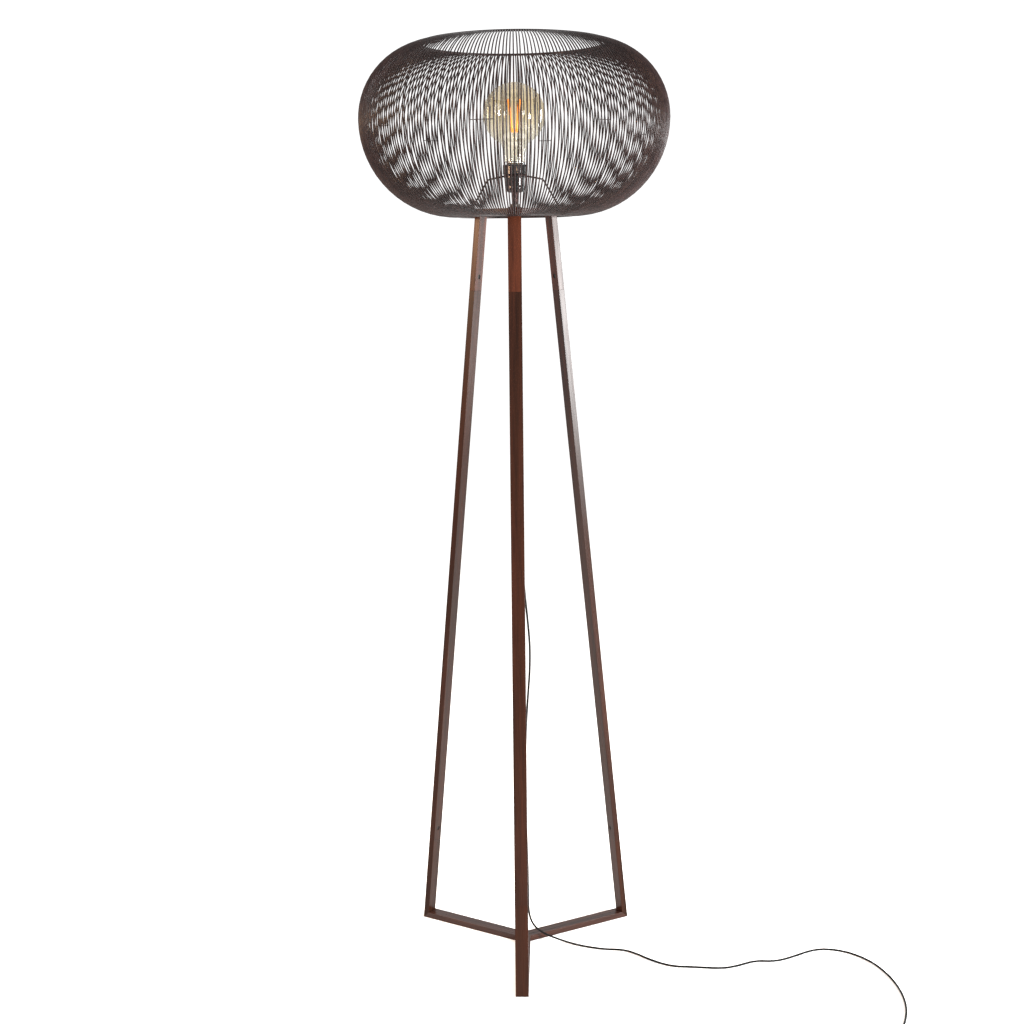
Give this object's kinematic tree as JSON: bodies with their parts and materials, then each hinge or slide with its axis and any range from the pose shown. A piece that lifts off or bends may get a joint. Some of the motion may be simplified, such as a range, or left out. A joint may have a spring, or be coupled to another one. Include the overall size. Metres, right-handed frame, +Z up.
{
  "type": "wire cage floor lamp",
  "caption": "Floor lamp with a wide rounded cage of upright wires round a globe bulb, on a tall stand of slim dark wooden bars with three legs.",
  "frame": {"origin": "centre of the stand on the floor, below the bulb", "axes": "+Z up along the stand axis, -Y towards the front leg, +X to the right seen from the front"},
  "size_m": [0.8662, 0.6673, 1.523],
  "materials": {
    "stained_wood": "stained and satin lacquered",
    "cage_steel": "dark bronze powder coat",
    "zinc_steel": "zinc plated",
    "beech": "bare",
    "black_gloss": "gloss",
    "brass": "plain",
    "insulator": "matt",
    "amber_glass": "clear amber",
    "clear_glass": "clear",
    "filament": "coated",
    "nickel": "bright",
    "cord_sheath": "satin",
    "black_plastic": "satin"
  },
  "bodies": {
    "lamp": {"base_arm_front": "stained_wood", "base_arm_left": "stained_wood", "base_arm_right": "stained_wood", "bulb_cap": "nickel", "bulb_contact": "insulator", "bulb_filaments": "filament", "bulb_glass": "amber_glass", "bulb_stalk": "clear_glass", "cage_bottom_ring": "cage_steel", "cage_ties": "cage_steel", "cage_top_ring": "cage_steel", "cage_wires_1": "cage_steel", "cage_wires_2": "cage_steel", "cage_wires_3": "cage_steel", "cage_wires_4": "cage_steel", "cage_wires_5": "cage_steel", "cage_wires_6": "cage_steel", "cage_wires_7": "cage_steel", "cage_wires_8": "cage_steel", "centre_contact": "brass", "contact_sleeve": "brass", "cord_bush": "black_plastic", "cord_coil": "cord_sheath", "cord_inner": "cord_sheath", "cord_run": "cord_sheath", "cross_dowels": "zinc_steel", "foot_front": "stained_wood", "foot_left": "stained_wood", "foot_right": "stained_wood", "head_arm_front": "stained_wood", "head_arm_left": "stained_wood", "head_arm_right": "stained_wood", "head_leg_front": "stained_wood", "head_leg_left": "stained_wood", "head_leg_right": "stained_wood", "holder_body": "black_gloss", "holder_cap": "black_gloss", "holder_carrier": "insulator", "hub_dowels": "beech", "joint_rods": "zinc_steel", "leg_front": "stained_wood", "leg_left": "stained_wood", "leg_right": "stained_wood", "plug_body": "black_plastic", "plug_pins": "nickel", "shade_collar": "black_gloss", "spider": "cage_steel", "stem_nuts": "zinc_steel", "stem_tube": "zinc_steel", "stem_washers": "zinc_steel", "switch_base": "black_plastic", "switch_core": "black_plastic", "switch_cover": "black_plastic", "switch_screws": "zinc_steel", "terminal_screws": "zinc_steel"},
    "foot_button": {"switch_button": "black_plastic"}
  },
  "joints": [
    {"name": "foot_button_press", "type": "slide", "parent": "lamp", "child": "foot_button", "axis": [0, 0, 1], "range_m": [-0.003, 0], "stiffness_N_per_m": 400}
  ]
}
